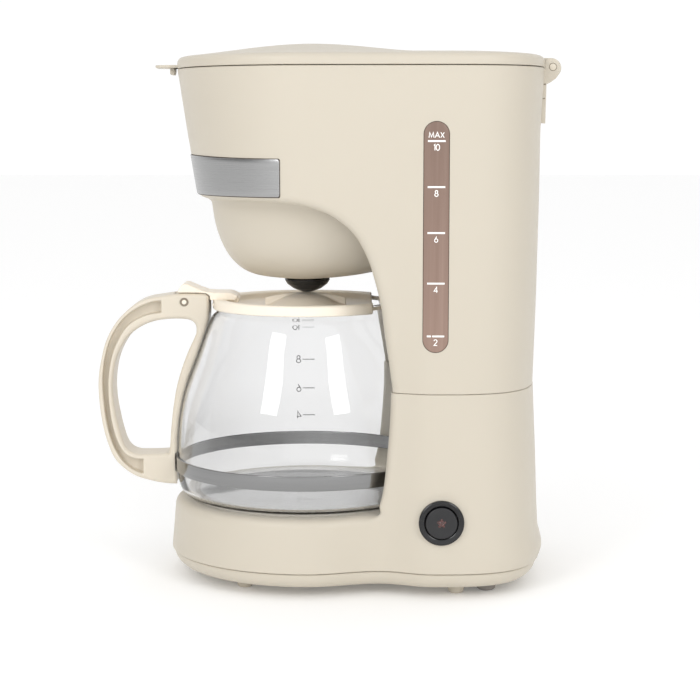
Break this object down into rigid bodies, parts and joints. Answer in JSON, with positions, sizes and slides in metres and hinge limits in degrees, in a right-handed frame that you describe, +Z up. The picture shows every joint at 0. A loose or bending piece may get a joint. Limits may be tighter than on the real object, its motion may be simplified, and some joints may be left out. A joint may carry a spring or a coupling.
{
  "type": "drip coffee maker",
  "caption": "Drip coffee maker with a hinged lid, lift-in filter bowl, drip-stop valve, side water gauge, warming plate, and a glass carafe with a handle and hinged lid.",
  "frame": {"origin": "centre of the whole object's box in X and Y, on the table it stands on", "axes": "+Z up, +Y towards the back of the machine, so the carafe's handle points along -Y; +X out of the side that has the switch and the water gauge"},
  "size_m": [0.1612, 0.2586, 0.2997],
  "materials": {
    "cream_plastic": "fine satin moulding",
    "handle_plastic": "satin moulding",
    "grey_rubber": "matt",
    "brushed_steel": "brushed along its length",
    "smoked_window": "smoked, glossy",
    "tank_plastic": "satin",
    "black_plastic": "satin",
    "filter_mesh": "woven",
    "steel": "plain",
    "plate_coating": "light grey satin coating",
    "aluminium": "cast",
    "brass": "plain",
    "silicone": "translucent white",
    "red_lens": "polished",
    "clear_glass": "clear, polished"
  },
  "bodies": {
    "housing": {"upper_housing": "cream_plastic", "lower_housing": "cream_plastic", "bottom_cover": "cream_plastic", "rubber_pad_left": "grey_rubber", "rubber_pad_right": "grey_rubber", "cover_screw_1": "steel", "cover_screw_2": "steel", "cover_screw_3": "steel", "cover_screw_4": "steel", "trim_plate": "brushed_steel", "gauge_window": "smoked_window", "water_tank": "tank_plastic", "filter_holder": "black_plastic", "permanent_filter": "filter_mesh", "hinge_pin": "steel", "warming_plate": "plate_coating", "plate_seal": "grey_rubber", "heating_element": "aluminium", "boiler_tube": "aluminium", "element_bracket": "steel", "bracket_screw_left": "steel", "bracket_screw_right": "steel", "thermostat": "black_plastic", "thermal_fuse": "brass", "check_valve_body": "black_plastic", "cold_water_hose": "silicone", "hot_water_hose": "silicone", "riser_tube": "tank_plastic", "shower_head": "tank_plastic", "switch_bezel": "black_plastic", "switch_body": "black_plastic"},
    "lid": {"lid": "cream_plastic"},
    "drip_valve": {"drip_valve": "black_plastic"},
    "power_button": {"power_button": "black_plastic", "button_lens": "red_lens"},
    "check_ball": {"check_ball": "silicone"},
    "carafe": {"carafe_glass": "clear_glass", "carafe_band": "brushed_steel", "carafe_collar": "cream_plastic", "carafe_handle": "handle_plastic", "handle_screw": "steel", "carafe_lid_pin": "handle_plastic"},
    "carafe_lid": {"carafe_lid": "handle_plastic"}
  },
  "joints": [
    {"name": "lid_hinge", "type": "hinge", "parent": "housing", "child": "lid", "pos_m": [0, 0.12423, 0.2862], "axis": [-1, 0, 0], "range_deg": [0, 100]},
    {"name": "carafe_slide", "type": "slide", "parent": "housing", "child": "carafe", "axis": [0, -1, 0], "range_m": [0, 0.2]},
    {"name": "carafe_lid_hinge", "type": "hinge", "parent": "carafe", "child": "carafe_lid", "pos_m": [0, -0.07997, 0.1556], "axis": [1, 0, 0], "range_deg": [0, 2.4]},
    {"name": "drip_valve_lift", "type": "slide", "parent": "housing", "child": "drip_valve", "axis": [0, 0, 1], "range_m": [0, 0.003], "stiffness_N_per_m": 60, "springref_m": -0.004},
    {"name": "power_button_press", "type": "slide", "parent": "housing", "child": "power_button", "axis": [-1, 0, 0], "range_m": [0, 0.0025], "stiffness_N_per_m": 300, "springref_m": -0.001},
    {"name": "check_ball_lift", "type": "slide", "parent": "housing", "child": "check_ball", "axis": [0, 0, 1], "range_m": [0, 0.0018]}
  ],
  "couplings": [
    {"joint": "drip_valve_lift", "follows": "carafe_lid_hinge", "m_per_rad": 0.0693}
  ]
}
